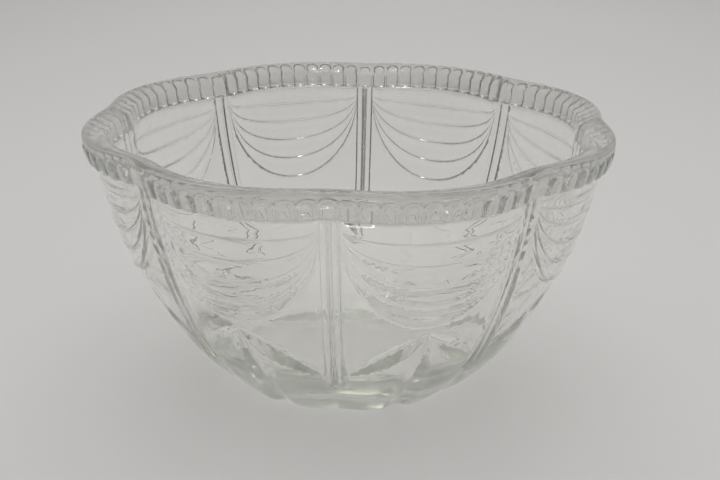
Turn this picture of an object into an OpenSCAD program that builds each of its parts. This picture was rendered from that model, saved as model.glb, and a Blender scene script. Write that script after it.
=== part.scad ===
// Pressed glass punch bowl with eight lobes, as one moulded piece.
// Units are millimetres, +Z is up, and the origin is the middle of the flat base.
// One joint between two lobes faces -Y.

/* [Bowl] */
// Outside diameter of the rim, measured over the fullest part of the lobes
rim_d = 250; // [200:1:320]
// Height from the table to the crest of the rim
height = 128; // [100:1:165]
// Diameter of the flat base
base_d = 120; // [95:1:150]
// How far each joint between lobes is drawn in, as a share of the radius at the rim
lobe_draw = 0.066; // [0.03:0.002:0.08]
// The same share where the wall meets the base
lobe_draw_base = 0.035; // [0.02:0.002:0.08]

/* [Glass thickness] */
// Thickness of the floor
floor_t = 9; // [7:0.5:14]
// Horizontal thickness of the wall just under the rim
wall_t = 6.7; // [5.5:0.1:9]

/* [Rim band] */
// Height of the thick band round the rim
band_h = 13; // [9:0.5:18]
// How far the foot of the band stands out from the wall below it
band_step = 2.7; // [1.5:0.1:5]
// How far the crest lies inside the outermost beads
crest_in = 2.5; // [1.5:0.1:5]
// How far each arched bead stands out of the grooves beside it
bead_h = 1.4; // [0.5:0.1:2]

/* [Swags] */
// How far the folds of the drapery stand out
swag_h = 1.7; // [0.5:0.1:2.5]
// Height of one fold at the middle of a panel
swag_pitch = 10.3; // [8:0.1:12]

/* [Ribs and leaves] */
// Width of the upright rib between two panels
rib_w = 8.8; // [6:0.2:12]
// Height of the ridge along the middle of a rib
rib_h = 2.4; // [0.5:0.1:3]
// Greatest width of a cut leaf
leaf_w = 10.6; // [7:0.2:13]
// Depth of the mitre cut along the middle of a leaf
leaf_cut = 2.2; // [0.5:0.1:2.5]

/* [Hidden] */

lobes = 8;
lobe_half = 180 / lobes;
swags = 5;
beads = 12; // pitches in one lobe, one bead standing on each joint
eps = 0.001;

// Mesh density: columns in one lobe, and rows up the outside and down the inside.
wall_cols = 16;
bead_cols = 4 * beads;
inner_cols = 8;
low_rows = 12;
inner_rows = 10;

// Heights and radii of the profile through the middle of a lobe.
rim_r = rim_d / 2;
base_r = base_d / 2;
band_z = height - band_h;
wall_top_r = rim_r * 0.979 - band_step;
bead_top_z = height - crest_in;
lip_z = height - 0.88 * band_h;
lip_r = wall_top_r - wall_t;
flare = 0.16 * rim_r;
floor_r = base_r - 0.78 * floor_t;

// Swags hang from hook_z at both sides of a panel. The lowest ends at drop_low below it.
hook_z = band_z - 4.3;
drop_first = 0.56 * swag_pitch;
drop_low = drop_first + (swags - 1) * swag_pitch;
apex_z = hook_z - drop_low - 4.8;
rib_half = rib_w / 2;
rib_end_z = 0.17 * height;
leaf_half = leaf_w / 2;

// A lobe is an arc through its two joints, so the radius follows the angle g from its middle.
function arc_r(g, draw) =
    let (j = 1 - draw,
         c = (1 - j * j) / (2 * (1 - j * cos(lobe_half))))
    c * cos(g) + sqrt((1 - c) * (1 - c) - pow(c * sin(g), 2));

function draw_at(z) = lobe_draw_base + (lobe_draw - lobe_draw_base) * min(1, z / band_z);

// The wall leaves the base flat, turns up quickly and then flares to the rim.
function rise(u, power) = pow(max(0, 1 - pow(1 - min(1, u), 2)), power);
function outer_r(z) =
    base_r + flare * z / band_z + (wall_top_r - base_r - flare) * rise(z / band_z, 0.69);
function inner_u(z) = (z - floor_t) / (lip_z - floor_t);
function inner_r(z) =
    floor_r + 0.4 * flare * inner_u(z) + (lip_r - floor_r - 0.4 * flare) * rise(inner_u(z), 0.57);

// Outward normal of the outer profile in the upright plane, as [radial, up].
function outer_n(z) =
    let (a = max(eps, z - 1), b = z + 1,
         d = [b - a, outer_r(a) - outer_r(b)])
    d / norm(d);

// Column j of n in one lobe, from -1 at one joint to 1 at the next. The columns beside a joint
// run along the edges of its rib, and the rest share the panel between two ribs.
function panel_half(z) = outer_r(z) * lobe_half * PI / 180 - rib_half;
function column_x(j, z) =
    j == 0 ? -panel_half(z) - rib_half
    : panel_half(z) * (2 * (j - 1) / (wall_cols - 2) - 1);
function column_s(j) = j == 0 ? 1 : abs(2 * (j - 1) / (wall_cols - 2) - 1);

// How far a swag line hangs at s, as a share of its drop at the middle of the panel.
function hang(s) = 0.45 + 0.55 * sqrt(1 - s * s);

// Rows up the outside: first the leaf zone under the lowest swag, then two rows to each fold.
swag_drops = [for (k = [1 : 2 * (swags - 1)]) drop_low - k * swag_pitch / 2];
function low_z(k, s) = (hook_z - drop_low * hang(s)) * pow(k / low_rows, 1.25);
function wall_z(row, s) =
    row <= low_rows ? low_z(row, s)
    : row <= low_rows + len(swag_drops) ? hook_z - swag_drops[row - low_rows - 1] * hang(s)
    : row == low_rows + len(swag_drops) + 1 ? hook_z
    : band_z;
wall_rows = low_rows + len(swag_drops) + 2;

// Relief of the outside, in millimetres along the normal.
function rib_relief(x, z) = rib_h * max(0, 1 - (panel_half(z) + rib_half - abs(x)) / rib_half);
function fold(f) = 4 * f * (1 - f);
function swag_relief(drop, s) =
    drop <= 0 || drop >= drop_low - eps ? 0
    : drop < drop_first + eps ? 0.3 * swag_h * fold(drop / drop_first)
    : let (f = (drop - drop_first) / swag_pitch)
      swag_h * fold(f - floor(f + eps)) * sqrt(max(0, 1 - s * s));

// A leaf is a lens-shaped mitre cut: along runs from 0 to 1 between its tips.
function leaf_relief(along, aside) =
    along <= 0 || along >= 1 ? 0
    : -leaf_cut * max(0, sin(180 * along) - abs(aside) / leaf_half);
function side_leaf(x, z) =
    let (tip = [0.9 * panel_half(apex_z * 0.6), -0.19 * height],
         p = [abs(x), z - apex_z],
         d = tip / norm(tip))
    leaf_relief((p * d) / norm(tip), p[0] * d[1] - p[1] * d[0]);
function leaves_relief(x, z) = min(leaf_relief(1 - z / apex_z, x), side_leaf(x, z));

function relief(x, z, s, drop) =
    rib_relief(x, z) * min(1, max(0, z - rib_end_z) / rib_half) + swag_relief(drop, s) + leaves_relief(x, z);

function on_bowl(lobe, g, r, z) =
    let (a = -90 + lobe_half * (2 * lobe + 1) + g)
    [r * cos(a), r * sin(a), z];

function wall_point(lobe, j, row) =
    let (s = column_s(j),
         z = wall_z(row, s),
         x = column_x(j, z),
         g = x / outer_r(z) * 180 / PI,
         n = outer_n(z),
         h = row == 0 || row == wall_rows ? 0 : relief(x, z, s, (hook_z - z) / hang(s)))
    on_bowl(lobe, g, outer_r(z) * arc_r(g, draw_at(z)) + h * n[0], z + h * n[1]);

// The band: foot, lower and upper ends of the beads, each ring as [radius, height, bead share].
band_rings = [
    [rim_r * 0.979, band_z, 0.6],
    [rim_r - 0.2, band_z + 0.12 * band_h, 1],
    [rim_r, bead_top_z - 0.2 * band_h, 1],
    [rim_r - 0.3, bead_top_z, 0.5]
];
function band_point(lobe, j, ring) =
    let (g = lobe_half * (2 * j / bead_cols - 1),
         b = band_rings[ring],
         groove = bead_h * b[2] * (1 - cos(360 * j / 4)) / 2)
    on_bowl(lobe, g, b[0] * arc_r(g, lobe_draw) - groove, b[1]);

// The lip runs from the crest down to the inside wall as a quarter of an ellipse.
function crest_point(lobe, j) =
    let (g = lobe_half * (2 * j / wall_cols - 1))
    on_bowl(lobe, g, (rim_r - crest_in) * arc_r(g, lobe_draw), height);

function inner_ring(row) =
    row < 3
    ? let (a = 90 * (row + 1) / 3)
      [lip_r + (rim_r - crest_in - lip_r) * (1 - sin(a)), lip_z + (height - lip_z) * cos(a)]
    : let (u = pow(1 - (row - 2) / inner_rows, 1.6), z = floor_t + u * (lip_z - floor_t))
      [inner_r(z), z];
inner_count = inner_rows + 3;
function inner_point(lobe, j, row) =
    let (g = lobe_half * (2 * j / inner_cols - 1),
         p = inner_ring(row))
    on_bowl(lobe, g, p[0] * arc_r(g, draw_at(p[1]) * min(1, 0.3 + inner_u(p[1]))), p[1]);

// Faces between two rings of the same number of points, and between a ring and one n times finer.
function ring_faces(a, b, n) = [
    for (i = [0 : n - 1])
    let (k = (i + 1) % n)
    each [[a + i, b + i, b + k], [a + i, b + k, a + k]]
];
function step_faces(coarse, fine, n, ratio) = [
    for (i = [0 : n - 1])
    let (k = (i + 1) % n, m = n * ratio)
    each concat(
        [for (q = [0 : ratio - 1]) [coarse + i, fine + i * ratio + q, fine + (i * ratio + q + 1) % m]],
        [[coarse + i, fine + (k * ratio) % m, coarse + k]])
];
function flip(faces) = [for (f = faces) [f[0], f[2], f[1]]];
function cap_faces(centre, a, n) = [for (i = [0 : n - 1]) [centre, a + i, a + (i + 1) % n]];

module glass_bowl() {
    wall_n = lobes * wall_cols;
    bead_n = lobes * bead_cols;
    inner_n = lobes * inner_cols;
    points = concat(
        [for (row = [0 : wall_rows], l = [0 : lobes - 1], j = [0 : wall_cols - 1]) wall_point(l, j, row)],
        [for (ring = [0 : 3], l = [0 : lobes - 1], j = [0 : bead_cols - 1]) band_point(l, j, ring)],
        [for (l = [0 : lobes - 1], j = [0 : wall_cols - 1]) crest_point(l, j)],
        [for (row = [0 : inner_count - 1], l = [0 : lobes - 1], j = [0 : inner_cols - 1])
            inner_point(l, j, row)],
        [[0, 0, 0], [0, 0, floor_t]]);
    band = (wall_rows + 1) * wall_n;
    crest = band + 4 * bead_n;
    inner = crest + wall_n;
    last = inner + (inner_count - 1) * inner_n;
    centre = inner + inner_count * inner_n;
    faces = concat(
        cap_faces(centre, 0, wall_n),
        [for (row = [0 : wall_rows - 1]) each ring_faces(row * wall_n, (row + 1) * wall_n, wall_n)],
        step_faces(band - wall_n, band, wall_n, bead_cols / wall_cols),
        [for (k = [0 : 2]) each ring_faces(band + k * bead_n, band + (k + 1) * bead_n, bead_n)],
        flip(step_faces(crest, band + 3 * bead_n, wall_n, bead_cols / wall_cols)),
        flip(step_faces(inner, crest, inner_n, wall_cols / inner_cols)),
        [for (k = [0 : inner_count - 2])
            each ring_faces(inner + k * inner_n, inner + (k + 1) * inner_n, inner_n)],
        flip(cap_faces(centre + 1, last, inner_n)));
    color([0.86, 0.9, 0.88, 0.45]) polyhedron(points = points, faces = faces, convexity = 6);
}

glass_bowl();
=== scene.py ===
"""The looks of a pressed glass punch bowl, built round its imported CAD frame.

The bowl is one closed mesh. One half of one lobe of the outside wall is triangulated flat, with the
swags, leaves and rib as lines in it, then bent onto the profile, mirrored and repeated for eight lobes.
The beaded band, the lip, the inside and the base are rings that close it. Shapes are worked out in
millimetres and scaled to metres at the end.
"""

import math

import bmesh
import bpy
import numpy as np
from mathutils import Matrix, Vector
from mathutils.geometry import delaunay_2d_cdt


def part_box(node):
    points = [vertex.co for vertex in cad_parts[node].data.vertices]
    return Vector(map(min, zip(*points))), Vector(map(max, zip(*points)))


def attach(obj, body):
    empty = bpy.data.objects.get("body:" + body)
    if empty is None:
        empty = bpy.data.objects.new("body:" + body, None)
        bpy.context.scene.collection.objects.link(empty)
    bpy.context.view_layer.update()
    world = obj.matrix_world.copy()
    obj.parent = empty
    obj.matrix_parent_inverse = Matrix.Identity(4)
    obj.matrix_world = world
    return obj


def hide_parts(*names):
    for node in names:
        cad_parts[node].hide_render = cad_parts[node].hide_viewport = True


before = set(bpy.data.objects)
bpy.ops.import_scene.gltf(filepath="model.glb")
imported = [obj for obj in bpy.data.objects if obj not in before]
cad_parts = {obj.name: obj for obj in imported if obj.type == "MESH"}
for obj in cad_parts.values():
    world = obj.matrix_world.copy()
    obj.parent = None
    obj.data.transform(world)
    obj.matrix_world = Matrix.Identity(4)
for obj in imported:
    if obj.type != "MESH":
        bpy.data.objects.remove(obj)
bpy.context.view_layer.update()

# Driving sizes, in millimetres.
MM = 0.001
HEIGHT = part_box("glass_bowl")[1].z / MM
RIM_R = 0.9766 * HEIGHT
BASE_R = 0.48 * RIM_R
LOBES = 8
LOBE_HALF = math.pi / LOBES
DRAW_RIM = 0.066
DRAW_BASE = 0.035

# Profile of the wall through the middle of a lobe.
BAND_H = 13.0
BAND_Z = HEIGHT - BAND_H
FOOT_R = 0.979 * RIM_R
WALL_TOP_R = FOOT_R - 2.7
FLARE = 0.16 * RIM_R
EDGE_Z = 5.0
EDGE_IN = 2.5
FLOOR_Z = 9.0
FLOOR_R = BASE_R - 7.0
HOLLOW_Z = 0.45
LIP_Z = HEIGHT - 0.75 * BAND_H
LIP_R = WALL_TOP_R - 6.7
CREST_R = RIM_R - 3.0

# The inside bottom is a dish: flat in the middle, one long curve up to the wall.
DISH_FLAT_R = 0.3 * FLOOR_R
DISH_TOP_Z = FLOOR_Z + 21.0

# Beads: twelve pitches in a lobe, one bead standing on each joint.
BEADS = 12
BEAD_TOP_Z = HEIGHT - 4.1
ROLL_Z = HEIGHT - 3.8
BEAD_HALF = 0.787 * RIM_R / BEADS / 2
GROOVE_DEPTH = 1.05
GROOVE_HALF = 0.75
LIP_SLOPE = 2.6

# Swags, ribs and leaves.
SWAGS = 5
SWAG_PITCH = 10.3
SWAG_H = 1.0
WELT_H = 0.9
WELT_MIDDLE = 0.87
WELT_HALF = 0.13
PLEAT_H = 0.45
FOLD_PLACES = (-0.5, 0.5, 1.5, 2.5)
FOLD_SHARES = (0.3, 0.5, 0.8, 1.0)
DROP_FIRST = 0.56 * SWAG_PITCH
DROP_LOW = DROP_FIRST + (SWAGS - 1) * SWAG_PITCH
HOOK_Z = BAND_Z - 4.3
APEX_Z = HOOK_Z - DROP_LOW - 4.8
RIB_HALF = 4.4
RIB_H = 2.2
RIB_END_Z = 0.2 * HEIGHT
LEAF_HALF = 6.4
SIDE_LEAF_HALF = 5.3
LEAF_SLOPE = 0.4

# Mesh density: columns in one bead pitch and in half a lobe of the base, the spacing on the wall, and
# the heights of the mesh lines that follow each swag line over its welt.
BEAD_COLS = np.array([0, 0.17, 0.34, 0.44, 0.5, 0.56, 0.66, 0.83])
BASE_COLS = 24
SPACING = 1.68
WELT_LINES = (0, 0.4, 1.34, 2.3)


# ---------------------------------------------------------------- profile


def lobe_arc(g, draw):
    """Radius at angle g from a lobe's middle, as a share of the radius there."""
    joint = 1 - draw
    c = (1 - joint**2) / (2 * (1 - joint * math.cos(LOBE_HALF)))
    return c * np.cos(g) + np.sqrt((1 - c) ** 2 - (c * np.sin(g)) ** 2)


def soft_lobe(g, draw, round_off):
    """The same outline with the joint between two arcs rounded off."""
    own = lobe_arc(g, draw)
    other = lobe_arc(2 * LOBE_HALF - np.abs(g), draw)
    return 0.5 * (own + other + np.sqrt((own - other) ** 2 + round_off**2))


def draw_at(z):
    """How far the joints are drawn in at a height, as a share of the radius."""
    return DRAW_BASE + (DRAW_RIM - DRAW_BASE) * np.clip(z / BAND_Z, 0, 1)


def rise(u, power):
    """A share that climbs fast from 0 and levels off at 1: the wall's curve."""
    return (1 - (1 - np.clip(u, 0, 1)) ** 2) ** power


def outer_r(z):
    """Outside radius through a lobe's middle, tucked in at the base edge."""
    tucked = EDGE_IN * np.clip(1 - z / EDGE_Z, 0, 1) ** 2.2
    return BASE_R + FLARE * z / BAND_Z + (WALL_TOP_R - BASE_R - FLARE) * rise(z / BAND_Z, 0.69) - tucked


def inner_r(z):
    """Inside radius through a lobe's middle, from the floor to the lip."""
    u = (z - FLOOR_Z) / (LIP_Z - FLOOR_Z)
    return FLOOR_R + 0.4 * FLARE * u + (LIP_R - FLOOR_R - 0.4 * FLARE) * rise(u, 0.57)


# The outside wall is unrolled: y runs up along the profile and x across the panel.
TABLE_Z = BAND_Z * np.linspace(0, 1, 3000) ** 3
TABLE_R = outer_r(TABLE_Z)
TABLE_Y = np.concatenate([[0], np.cumsum(np.hypot(np.diff(TABLE_Z), np.diff(TABLE_R)))])
WALL_Y = TABLE_Y[-1]


def z_of(y):
    return np.interp(y, TABLE_Y, TABLE_Z)


def y_of(z):
    return np.interp(z, TABLE_Z, TABLE_Y)


def half_width(y):
    """Distance from a panel's middle to its joint."""
    return outer_r(z_of(y)) * LOBE_HALF


# ---------------------------------------------------------------- relief


def hang(s):
    """How far a swag line hangs, as a share of its drop: nearly half an ellipse from rib to rib."""
    return np.sqrt(1 - (0.9995 * s) ** 2.1)


def panel_share(x, y):
    """Place across a panel: 0 in the middle, 1 at the rib."""
    return np.clip(x / (half_width(y) - RIB_HALF), 0, 1)


def rib_relief(x, y):
    """Half of the rib: one of two rounded reeds side by side, with a rounded lower end."""
    edge = half_width(y) - x
    off_centre = np.clip(2 * edge / RIB_HALF - 1, -1, 1)
    below_top = 1 - np.clip((y - RIB_END_Y) / (0.5 * RIB_HALF), 0, 1)
    return RIB_H * np.clip(1 - off_centre**2 - below_top**2, 0, 1) ** 0.65


def swag_relief(x, y):
    """Folds like hung cloth, each with a round welt along its lower edge and a pleat beside the ribs."""
    s = panel_share(x, y)
    drop = (HOOK_Z - z_of(y)) / hang(s)
    fold = (drop - DROP_FIRST) / SWAG_PITCH
    first = drop < DROP_FIRST
    phase = np.where(first, np.clip(drop / DROP_FIRST, 0, 1), fold - np.floor(fold))
    body = SWAG_H * (4 * phase * (1 - phase)) ** 0.8
    welt = WELT_H * np.sqrt(np.clip(1 - ((phase - WELT_MIDDLE) / WELT_HALF) ** 2, 0, 1))
    pleat = PLEAT_H * np.exp(-(((phase - 0.5) / 0.1) ** 2)) * np.clip((s - 0.3) / 0.4, 0, 1)
    height = np.interp(fold, FOLD_PLACES, FOLD_SHARES) * (body + welt + pleat)
    return np.where((drop > 0) & (drop < DROP_LOW), height, 0) * hang(s) ** 0.4


def central_leaf_half(along):
    """The central leaf widens from the fan's centre and runs out through the base edge."""
    return LEAF_HALF * np.sin(math.pi * np.clip(along, 0, 1) / 1.5)


def side_leaf_half(along):
    """The side leaves are pointed at both ends."""
    return SIDE_LEAF_HALF * np.sin(math.pi * np.clip(along, 0, 1)) ** 0.9


def vee_cut(half, aside):
    """A mitre cut: a vee whose depth follows the leaf's width."""
    return -LEAF_SLOPE * np.clip(half - np.abs(aside), 0, None)


APEX_Y = y_of(APEX_Z)
RIB_END_Y = y_of(RIB_END_Z)
SIDE_TIP_Y = y_of(0.272 * HEIGHT)
SIDE_TIP_X = 0.94 * (half_width(SIDE_TIP_Y) - RIB_HALF)
SIDE_LENGTH = math.hypot(SIDE_TIP_X, APEX_Y - SIDE_TIP_Y)
SIDE_DIR = np.array([SIDE_TIP_X, SIDE_TIP_Y - APEX_Y]) / SIDE_LENGTH


def relief(x, y):
    """Height of the pattern above the plain wall, along its normal."""
    central = vee_cut(central_leaf_half((APEX_Y - y) / APEX_Y), x)
    dx, dy = x, y - APEX_Y
    along = (dx * SIDE_DIR[0] + dy * SIDE_DIR[1]) / SIDE_LENGTH
    aside = dx * SIDE_DIR[1] - dy * SIDE_DIR[0]
    side = vee_cut(side_leaf_half(along), aside)
    return rib_relief(x, y) + swag_relief(x, y) + np.minimum(central, side)


def bend(x, y):
    """Unrolled wall points of one lobe as [angle from its middle, radius, height]."""
    z = z_of(y)
    dz = z_of(y + 0.3) - z_of(y - 0.3)
    dr = outer_r(z_of(y + 0.3)) - outer_r(z_of(y - 0.3))
    length = np.hypot(dr, dz)
    h = relief(np.abs(x), y)
    g = x / outer_r(z)
    radius = outer_r(z) * lobe_arc(g, draw_at(z)) + h * dz / length
    return np.stack([g, radius, np.maximum(z - h * dr / length, 0)], -1)


# ---------------------------------------------------------------- flat panel


def spaced(a, b, step):
    return np.linspace(a, b, max(2, int(round(abs(b - a) / step)) + 1))


def swag_line(k, above=0.0):
    """The k-th swag line or one a little above it. All stop short of the rib, where they meet."""
    drop = DROP_FIRST + k * SWAG_PITCH - above
    crowded = 0 < above < 2
    reach = 0.84 if crowded else 0.95
    s = np.sin(np.linspace(0, reach * math.pi / 2, int(64 * reach)))
    y = y_of(HOOK_Z - drop * hang(s))
    return np.stack([s * (half_width(y) - RIB_HALF), y], -1)


def side_leaf_line(share):
    """The side leaf's ridge for share 0, its outlines for share -1 and 1."""
    t = spaced(0, 1, 0.9 / SIDE_LENGTH)
    axis = np.array([0, APEX_Y]) + SIDE_LENGTH * t[:, None] * SIDE_DIR
    across = np.array([SIDE_DIR[1], -SIDE_DIR[0]])
    return axis + share * side_leaf_half(t)[:, None] * across


def central_leaf_line():
    y = spaced(0, APEX_Y, 0.9)
    return np.stack([central_leaf_half((APEX_Y - y) / APEX_Y), y], -1)


def rib_line(inset):
    """A line along the rib at a distance from the joint."""
    y = spaced(RIB_END_Y + 0.5 * RIB_HALF, WALL_Y - 1, 1.6)
    return np.stack([half_width(y) - inset, y], -1)


def base_shares():
    """Places of the base's columns across half a lobe, one of them at the central leaf's edge."""
    shares = np.linspace(0, 1, BASE_COLS + 1)
    leaf_end = central_leaf_half(1.0) / half_width(0.0)
    shares[np.abs(shares - leaf_end).argmin()] = leaf_end
    return shares


def panel_outline(feature_ends):
    """The border of half a panel: base, joint, top and the middle line, with every line's end on it."""
    base = base_shares()[:, None] * [half_width(0.0), 0]
    joint_y = spaced(0, WALL_Y, 1.6)[1:-1]
    joint = np.stack([half_width(joint_y), joint_y], -1)
    top = rim_shares()[::-1, None] * [half_width(WALL_Y), 0] + [0, WALL_Y]
    middle_y = np.union1d(spaced(0, WALL_Y, 1.1)[1:-1], feature_ends)
    keep = np.ones(len(middle_y), bool)
    fixed = np.isin(middle_y, feature_ends)
    for i in np.where(~fixed)[0]:
        keep[i] = np.abs(feature_ends - middle_y[i]).min() > 0.5
    middle_y = middle_y[keep][::-1]
    middle = np.stack([np.zeros_like(middle_y), middle_y], -1)
    return np.concatenate([base, joint, top, middle])


def filling(lines):
    """An even triangular grid of points that keeps clear of the lines."""
    taken = np.concatenate(lines)
    rows = []
    step_y = SPACING * math.sqrt(3) / 2
    for i, y in enumerate(np.arange(step_y / 2, WALL_Y - 0.4 * step_y, step_y)):
        x = np.arange(SPACING * (0.5 + 0.5 * (i % 2)), half_width(y) - 0.45 * SPACING, SPACING)
        rows.append(np.stack([x, np.full_like(x, y)], -1))
    points = np.concatenate(rows)
    near = np.array([np.hypot(*(taken - p).T).min() for p in points])
    return points[near > 0.52 * SPACING]


def flat_half_panel():
    """Points and triangles of half a panel, laid flat."""
    heights = (*WELT_LINES, SWAG_PITCH / 2)
    swag_lines = [swag_line(k, above) for k in range(SWAGS) for above in heights]
    rib_lines = [rib_line(inset) for inset in (0.3, 1.1, 2.2, 3.3, RIB_HALF - 0.3, RIB_HALF)]
    lines = swag_lines + [side_leaf_line(k) for k in (-1, 0, 1)] + [central_leaf_line()] + rib_lines
    ends = np.array([line[0, 1] for line in swag_lines] + [APEX_Y])
    outline = panel_outline(ends)
    points = [outline]
    edges = []
    count = len(outline)
    for line in lines:
        points.append(line)
        edges += [(count + i, count + i + 1) for i in range(len(line) - 1)]
        count += len(line)
    points.append(filling([outline] + lines))
    flat = [Vector((float(x), float(y))) for x, y in np.concatenate(points)]
    border = [list(range(len(outline)))]
    found, _, faces, _, _, _ = delaunay_2d_cdt(flat, edges, border, 1, 1e-4)
    return np.array([(v.x, v.y) for v in found]), np.array([f for f in faces if len(f) == 3])


# ---------------------------------------------------------------- rings


def rim_shares():
    """Places of the rim's columns across half a lobe, closer together in the grooves between beads."""
    pitches = np.arange(BEADS // 2)[:, None]
    return np.append((pitches + BEAD_COLS).ravel(), BEADS // 2) * 2 / BEADS


def bead_groove(p, z):
    """Depth of the groove that outlines each round-topped bead. p runs from -1 to 1 across one pitch."""
    up = np.clip(z - (BEAD_TOP_Z - BEAD_HALF), 0, None)
    out = np.hypot(p * BEAD_HALF, up) - BEAD_HALF
    outline = np.exp(-((out / GROOVE_HALF) ** 2))
    face = 0.6 * np.clip(-out / BEAD_HALF, 0, 1) ** 0.5
    return GROOVE_DEPTH * outline - face


def band_r(z):
    """Radius of the band's face, rolled over to the crest."""
    foot = FOOT_R + (RIM_R - FOOT_R) * np.clip((z - BAND_Z) / (ROLL_Z - BAND_Z), 0, 1) ** 0.7
    roll = np.clip((z - ROLL_Z) / (HEIGHT - ROLL_Z), 0, 1)
    return np.where(z < ROLL_Z, foot, CREST_R + (RIM_R - CREST_R) * np.sqrt(1 - roll**2))


def lobe_angles(shares):
    """Angles round one lobe from joint to joint, without the last, from places across half a lobe."""
    return LOBE_HALF * np.concatenate([-shares[:0:-1], shares[:-1]])


def band_rings():
    """From the wall's top over the step under the band, up the beads and over to the crest."""
    g = lobe_angles(rim_shares())
    phase = g / LOBE_HALF * BEADS / 2
    p = 2 * (phase - np.round(phase))
    arc = lobe_arc(g, DRAW_RIM)
    rings = [bend(g * WALL_TOP_R, np.full_like(g, WALL_Y))]
    rings.append(np.stack([g, (FOOT_R - 1.2) * arc, np.full_like(g, BAND_Z - 0.1)], -1))
    straight = np.linspace(BAND_Z + 0.2, BEAD_TOP_Z - BEAD_HALF, 5)
    dome = np.linspace(BEAD_TOP_Z - BEAD_HALF, BEAD_TOP_Z + 1, 12)[1:]
    roll = ROLL_Z + (HEIGHT - ROLL_Z) * np.sin(np.linspace(0, math.pi / 2, 11))
    for z in np.concatenate([straight, dome, roll[roll > BEAD_TOP_Z + 1.2]]):
        share = np.clip((z - BEAD_TOP_Z) / (HEIGHT - BEAD_TOP_Z), 0, 1)
        radius = band_r(z) * soft_lobe(g, DRAW_RIM, 0.004 + 0.05 * share**0.5) - bead_groove(p, z)
        rings.append(np.stack([g, radius, np.full_like(g, z)], -1))
    return rings


def evenly(points, count):
    """Points at even distances along a fine polyline."""
    length = np.append(0, np.cumsum(np.hypot(*np.diff(points, axis=0).T)))
    place = np.linspace(0, length[-1], count)
    return np.stack([np.interp(place, length, points[:, k]) for k in (0, 1)], -1)


def lip_section():
    """From the crest over a sloping top to a firm shoulder, then down the inside face, as [r, z]."""
    a = np.linspace(0, math.pi / 2, 600)
    over, drop = np.sin(a) ** 0.24, np.cos(a) ** 0.24
    r = CREST_R - (CREST_R - LIP_R) * over
    z = LIP_Z + (HEIGHT - LIP_SLOPE - LIP_Z) * drop + LIP_SLOPE * (1 - over**1.5)
    return evenly(np.stack([r, z], -1), 24)[1:]


def inside_rings():
    """From the crest over the lip's shoulder, down the wall and across the floor."""
    g = lobe_angles(rim_shares()[::2])
    section = list(lip_section())
    for u in np.linspace(0, 1, 21)[1:]:
        z = LIP_Z + u * (DISH_TOP_Z - LIP_Z)
        section.append((float(inner_r(z)), z))
    lean = (inner_r(DISH_TOP_Z + 1) - inner_r(DISH_TOP_Z - 1)) / 2
    bend_r = inner_r(DISH_TOP_Z) - lean * (DISH_TOP_Z - FLOOR_Z)
    for u in np.linspace(0, 1, 15)[1:]:
        wall, middle, flat = (1 - u) ** 2, 2 * u * (1 - u), u**2
        r = wall * inner_r(DISH_TOP_Z) + middle * bend_r + flat * DISH_FLAT_R
        section.append((float(r), FLOOR_Z + wall * (DISH_TOP_Z - FLOOR_Z)))
    rings = []
    for r, z in section:
        share = np.clip(0.3 + (z - FLOOR_Z) / (LIP_Z - FLOOR_Z), 0, 1)
        above = np.clip((z - LIP_Z) / (HEIGHT - LIP_Z), 0, 1)
        share *= np.clip((r - DISH_FLAT_R) / (FLOOR_R - DISH_FLAT_R), 0, 1)
        arc = soft_lobe(g, draw_at(z) * share, 0.02 * share + 0.034 * above)
        rings.append(np.stack([g, r * arc, np.full_like(g, z)], -1))
    return rings


def base_rings():
    """Under the base: a flat resting ring round a very shallow hollow."""
    g = lobe_angles(base_shares())
    section = [(0.93, 0.0), (0.85, 0.05), (0.7, 0.2), (0.5, 0.33), (0.3, 0.41), (0.1, HOLLOW_Z)]
    rings = [bend(g * outer_r(0.0), np.zeros_like(g))]
    for share, z in section:
        arc = lobe_arc(g, DRAW_BASE * share**6)
        rings.append(np.stack([g, BASE_R * share * arc, np.full_like(g, z)], -1))
    return rings


# ---------------------------------------------------------------- mesh


def turned(points, lobe):
    """[angle, radius, height] of one lobe as x, y, z in metres. A joint faces -Y."""
    a = LOBE_HALF * (2 * lobe + 1) - math.pi / 2 + points[:, 0]
    return np.stack([points[:, 1] * np.cos(a), points[:, 1] * np.sin(a), points[:, 2]], -1) * MM


class Shell:
    """Collects the points and faces of the whole bowl."""

    def __init__(self):
        self.points = []
        self.faces = []
        self.count = 0

    def add(self, points):
        """Keeps the points and returns the index of the first."""
        self.points.append(points)
        self.count += len(points)
        return self.count - len(points)

    def ring(self, one_lobe):
        """Adds one lobe's points for every lobe. Returns the ring's first index and its length."""
        return self.add(np.concatenate([turned(one_lobe, k) for k in range(LOBES)])), LOBES * len(one_lobe)

    def join(self, a, b):
        """Faces from ring a to ring b, which has as many points, or half or twice as many."""
        (start_a, n_a), (start_b, n_b) = a, b
        steps = max(n_a, n_b)
        for i in range(steps):
            ahead = (i + 1) % steps
            a0, a1 = (start_a + k * n_a // steps for k in (i, ahead))
            b0, b1 = (start_b + k * n_b // steps for k in (i, ahead))
            self.faces.append(list(dict.fromkeys((a0, a1, b1, b0))))

    def close(self, ring, height, up):
        """A fan from a ring to a point on the axis."""
        start, n = ring
        centre = self.add(np.array([[0, 0, height * MM]]))
        for i in range(n):
            face = [start + i, start + (i + 1) % n, centre]
            self.faces.append(face if up else face[::-1])


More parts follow.
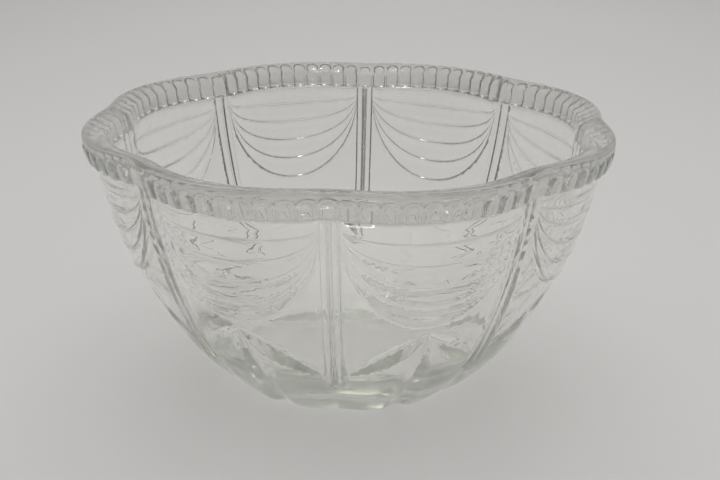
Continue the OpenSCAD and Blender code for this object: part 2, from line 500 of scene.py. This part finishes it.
def glass_shell():
    """The wall's panels, the band and the inside, and the base, as one set of points and faces."""
    shell = Shell()
    flat, triangles = flat_half_panel()
    for lobe in range(LOBES):
        for side in (1, -1):
            start = shell.add(turned(bend(flat[:, 0] * side, flat[:, 1]), lobe))
            shell.faces += (triangles[:, ::side] + start).tolist()
    band = [shell.ring(r) for r in band_rings()]
    inside = [shell.ring(r) for r in inside_rings()]
    for a, b in zip(band + inside, band[1:] + inside):
        shell.join(a, b)
    shell.close(inside[-1], FLOOR_Z, up=True)
    base = [shell.ring(r) for r in base_rings()]
    for a, b in zip(base[1:], base):
        shell.join(a, b)
    shell.close(base[-1], HOLLOW_Z, up=False)
    return shell


def glass_mesh():
    """The whole bowl as one closed mesh, with the borders of its panels and rings welded."""
    shell = glass_shell()
    mesh = bpy.data.meshes.new("bowl_glass")
    mesh.from_pydata(np.concatenate(shell.points).tolist(), [], shell.faces)
    bm = bmesh.new()
    bm.from_mesh(mesh)
    bmesh.ops.remove_doubles(bm, verts=bm.verts, dist=4e-6)
    bmesh.ops.dissolve_degenerate(bm, edges=bm.edges, dist=1e-6)
    bmesh.ops.recalc_face_normals(bm, faces=bm.faces)
    loose = [v for v in bm.verts if not v.link_faces]
    bmesh.ops.delete(bm, geom=loose, context="VERTS")
    bm.to_mesh(mesh)
    bm.free()
    mesh.shade_smooth()
    return mesh


# ---------------------------------------------------------------- materials


def new_nodes(material):
    material.use_nodes = True
    tree = material.node_tree
    tree.nodes.clear()
    return tree, tree.nodes.new("ShaderNodeOutputMaterial")


def set_ramp(ramp, steps, tint):
    """Grey steps for a colour ramp, as [place, grey], each multiplied by one tint."""
    while len(ramp.color_ramp.elements) < len(steps):
        ramp.color_ramp.elements.new(0.5)
    for element, (place, grey) in zip(ramp.color_ramp.elements, steps):
        element.position = place
        element.color = (grey * tint[0], grey * tint[1], grey * tint[2], 1)


def add_noise(tree, place, scale, detail):
    """The value of a noise texture."""
    noise = tree.nodes.new("ShaderNodeTexNoise")
    noise.inputs["Scale"].default_value = scale
    noise.inputs["Detail"].default_value = detail
    tree.links.new(place, noise.inputs["Vector"])
    return noise.outputs["Fac"]


def add_range(tree, value, low, high, to_low, to_high, shape="LINEAR"):
    """A value mapped from low..high to to_low..to_high, and held at those ends."""
    mapped = tree.nodes.new("ShaderNodeMapRange")
    mapped.interpolation_type = shape
    mapped.inputs["From Min"].default_value = low
    mapped.inputs["From Max"].default_value = high
    mapped.inputs["To Min"].default_value = to_low
    mapped.inputs["To Max"].default_value = to_high
    tree.links.new(value, mapped.inputs["Value"])
    return mapped.outputs["Result"]


def add_times_plus(tree, value, times, plus):
    """value x times + plus, where times is a socket or a number."""
    math_node = tree.nodes.new("ShaderNodeMath")
    math_node.operation = "MULTIPLY_ADD"
    tree.links.new(value, math_node.inputs[0])
    if isinstance(times, float):
        math_node.inputs[1].default_value = times
    else:
        tree.links.new(times, math_node.inputs[1])
    tree.links.new(plus, math_node.inputs[2])
    return math_node.outputs["Value"]


def painted_rim_shade(tree, height, patchy_noise):
    """Painted shade: the base colour greys towards the top of the rim, with an uneven edge, standing in for
    the dark room that the rim reflects and refracts.
    """
    up = add_range(tree, height, 0.0, HEIGHT * MM, 0.0, 1.0)
    rim_shade_ramp = tree.nodes.new("ShaderNodeValToRGB")
    # Painted shade: white up to nine tenths of the height, then greying to 0.74 at the crest, tinted a
    # little warm.
    set_ramp(rim_shade_ramp, [(0.0, 1.0), (0.9, 1.0), (0.93, 0.9), (0.98, 0.81), (1.0, 0.74)], (1, 1, 0.985))
    tree.links.new(add_times_plus(tree, patchy_noise, 0.03, up), rim_shade_ramp.inputs["Fac"])
    return rim_shade_ramp.outputs["Color"]


def scuffed_polish(tree, place, height, patchy_noise):
    """Roughness: uneven polish, and scratches on the lowest millimetre, where the bowl slides on tables."""
    polish = add_range(tree, patchy_noise, 0.35, 0.75, 0.0, 0.05)
    low = add_range(tree, height, 0.0002, 0.0012, 0.3, 0.0)
    return add_times_plus(tree, low, add_noise(tree, place, 900.0, 3.0), polish)


def mould_ripple(tree, place):
    """The normal of a surface with the faint ripple that a mould leaves."""
    bump = tree.nodes.new("ShaderNodeBump")
    bump.inputs["Strength"].default_value = 0.12
    bump.inputs["Distance"].default_value = 0.0006
    tree.links.new(add_noise(tree, place, 70.0, 2.0), bump.inputs["Height"])
    return bump.outputs["Normal"]


def glass_material():
    """Fire-polished soda-lime glass: faint mould ripple, painted shade on the rim, and a scuffed resting
    ring.
    """
    material = bpy.data.materials.new("clear_pressed_glass")
    tree, output = new_nodes(material)
    shader = tree.nodes.new("ShaderNodeBsdfPrincipled")
    shader.inputs["IOR"].default_value = 1.52
    shader.inputs["Transmission Weight"].default_value = 1.0
    absorb = tree.nodes.new("ShaderNodeVolumeAbsorption")
    absorb.inputs["Color"].default_value = (0.735, 0.748, 0.712, 1)
    absorb.inputs["Density"].default_value = 7.0

    place = tree.nodes.new("ShaderNodeTexCoord").outputs["Object"]
    split = tree.nodes.new("ShaderNodeSeparateXYZ")
    height = split.outputs["Z"]
    patchy_noise = add_noise(tree, place, 24.0, 5.0)
    link = tree.links.new
    link(place, split.inputs["Vector"])
    # Painted shade on the rim goes into the base colour; the same patchy noise also varies the polish.
    link(painted_rim_shade(tree, height, patchy_noise), shader.inputs["Base Color"])
    link(scuffed_polish(tree, place, height, patchy_noise), shader.inputs["Roughness"])
    link(mould_ripple(tree, place), shader.inputs["Normal"])
    link(shader.outputs["BSDF"], output.inputs["Surface"])
    link(absorb.outputs["Volume"], output.inputs["Volume"])
    return material


def floor_material():
    material = bpy.data.materials.new("pale_floor")
    tree, output = new_nodes(material)
    shader = tree.nodes.new("ShaderNodeBsdfPrincipled")
    shader.inputs["Base Color"].default_value = (0.74, 0.73, 0.72, 1)
    shader.inputs["Roughness"].default_value = 0.9
    shader.inputs["Specular IOR Level"].default_value = 0.1
    tree.links.new(shader.outputs["BSDF"], output.inputs["Surface"])
    return material


# ---------------------------------------------------------------- scene


def add_object(name, data):
    item = bpy.data.objects.new(name, data)
    bpy.context.scene.collection.objects.link(item)
    return item


def add_bowl():
    bowl = add_object("bowl_glass", glass_mesh())
    bowl.data.materials.append(glass_material())
    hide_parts("glass_bowl")
    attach(bowl, "root")
    return bowl


def add_floor():
    bpy.ops.mesh.primitive_circle_add(vertices=96, radius=8, fill_type="NGON", location=(0, 0, -0.0003))
    floor = bpy.context.object
    floor.name = "floor"
    floor.data.materials.append(floor_material())


def aim(item, place, target, roll=0.0):
    """Puts a lamp or camera at a place, turned to a target."""
    item.location = place
    look = (Vector(target) - Vector(place)).to_track_quat("-Z", "Y").to_matrix()
    item.rotation_euler = (look @ Matrix.Rotation(roll, 3, "Z")).to_euler()


def add_softbox(name, place, target, size, power, lights_floor=True, mirrored=False, refracted=False):
    """A rectangular light in watts, with what it lights and where the glass shows it."""
    data = bpy.data.lights.new(name, "AREA")
    data.shape = "RECTANGLE"
    data.size, data.size_y = size
    data.energy = power
    light = add_object(name, data)
    light.visible_diffuse = lights_floor
    light.visible_glossy = mirrored
    light.visible_transmission = refracted
    aim(light, place, target)
    return light


def add_lights():
    """Large soft lights for the floor, and small ones that glint in the glass."""
    centre, lower, middle = (0, 0, 0), (0, 0, 0.05), (0, 0, 0.08)
    key, key_size = (0, 0.1, 1.3), (1.1, 1.1)
    glint = {"mirrored": True, "refracted": True}
    add_softbox("back", (0, 1.5, 1.1), (0, 1.2, 0), (1.6, 0.6), 3.5)
    add_softbox("shade", key, centre, key_size, 1.0)
    unshaded = [
        add_softbox("overhead", key, centre, key_size, 3.95),
        add_softbox("lamp", key, centre, (0.1, 0.1), 1.0, **glint),
        add_softbox("window", (0.2, -1.2, 1.0), middle, (0.05, 0.05), 2.2, **glint),
        add_softbox("front", (0, -1.5, 1.1), middle, (0.7, 0.1), 3.0, lights_floor=False, mirrored=True),
        add_softbox("spark", (-0.3, -0.9, 1.5), lower, (0.05, 0.05), 2.0, lights_floor=False, **glint),
    ]
    # Real glass lets the light through to the cloth below, so only the floor blocks these.
    blockers = bpy.data.collections.new("light_blockers")
    blockers.objects.link(bpy.data.objects["floor"])
    for light in unshaded:
        light.light_linking.blocker_collection = blockers


def add_world():
    """A soft room: pale behind the bowl and overhead, dimmer on the camera's side."""
    world = bpy.data.worlds.new("soft_room")
    bpy.context.scene.world = world
    world.use_nodes = True
    tree = world.node_tree
    tree.nodes.clear()
    link = tree.links.new
    place = tree.nodes.new("ShaderNodeTexCoord")
    split = tree.nodes.new("ShaderNodeSeparateXYZ")
    link(place.outputs["Generated"], split.inputs["Vector"])
    ramp = tree.nodes.new("ShaderNodeValToRGB")
    set_ramp(ramp, [(0.0, 0.55), (0.25, 0.49), (0.5, 0.25), (0.85, 0.40), (1.0, 0.8)], (1, 0.99, 0.97))
    link(split.outputs["Z"], ramp.inputs["Fac"])
    brighter = tree.nodes.new("ShaderNodeMath")
    brighter.operation = "MAXIMUM"
    behind = add_range(tree, split.outputs["Y"], -0.6, 0.9, 0.18, 1.0, "SMOOTHSTEP")
    above = add_range(tree, split.outputs["Z"], 0.3, 0.7, 0.15, 1.0)
    link(behind, brighter.inputs[0])
    link(above, brighter.inputs[1])
    glow = tree.nodes.new("ShaderNodeBackground")
    output = tree.nodes.new("ShaderNodeOutputWorld")
    link(ramp.outputs["Color"], glow.inputs["Color"])
    link(brighter.outputs["Value"], glow.inputs["Strength"])
    link(glow.outputs["Background"], output.inputs["Surface"])


def add_camera():
    """A 50 mm lens two rim diameters away, looking down at the front joint from its right."""
    azimuth = math.radians(3.57)
    elevation = math.radians(21.4)
    distance = 4.01 * RIM_R * MM
    across = Vector((math.cos(azimuth), math.sin(azimuth), 0))
    away = Vector((-math.sin(azimuth), math.cos(azimuth), 0))
    target = across * (0.0386 * RIM_R * MM) + Vector((0, 0, 0.4995 * RIM_R * MM))
    place = target - (away * math.cos(elevation) - Vector((0, 0, math.sin(elevation)))) * distance
    data = bpy.data.cameras.new("camera")
    data.sensor_width = 36.0
    data.lens = 50.0
    camera = add_object("camera", data)
    aim(camera, place, target, math.radians(0.42))
    bpy.context.scene.camera = camera


def set_light_paths():
    """Enough bounces for light to cross both walls of the bowl, and plain colours."""
    scene = bpy.context.scene
    scene.view_settings.view_transform = "Standard"
    scene.cycles.max_bounces = 32
    scene.cycles.transmission_bounces = 32
    scene.cycles.glossy_bounces = 32
    scene.cycles.transparent_max_bounces = 16
    scene.cycles.use_denoising = True


add_camera()
add_world()
add_floor()
add_lights()
add_bowl()
set_light_paths()
